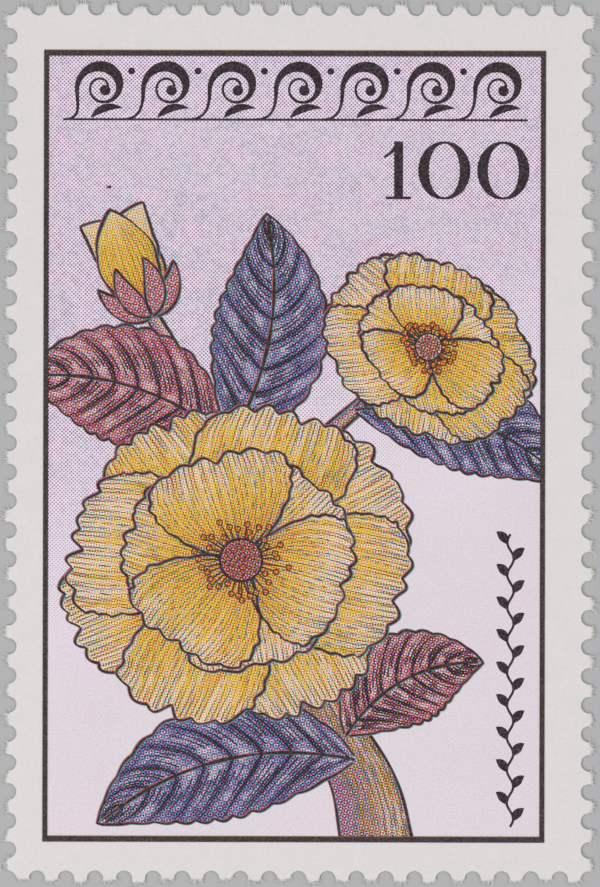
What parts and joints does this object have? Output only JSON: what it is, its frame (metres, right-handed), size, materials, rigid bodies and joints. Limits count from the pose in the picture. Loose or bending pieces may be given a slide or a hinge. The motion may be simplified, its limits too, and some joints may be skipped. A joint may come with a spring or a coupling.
{
  "type": "postage stamp",
  "caption": "Upright rectangular postage stamp: one thin flat sheet of gummed paper with a perforated, torn edge all round and a framed print.",
  "frame": {"origin": "on the gummed back, at the bottom centre of the sheet's box", "axes": "+X across the printed face to its right, +Y up the printed face, +Z out of the printed face"},
  "size_m": [0.029, 0.0433, 0.0001],
  "materials": {
    "stamp_paper": "smooth coated face with a matt offset print, and dried gum on the back"
  },
  "bodies": {
    "root": {"stamp_sheet": "stamp_paper"}
  },
  "joints": []
}
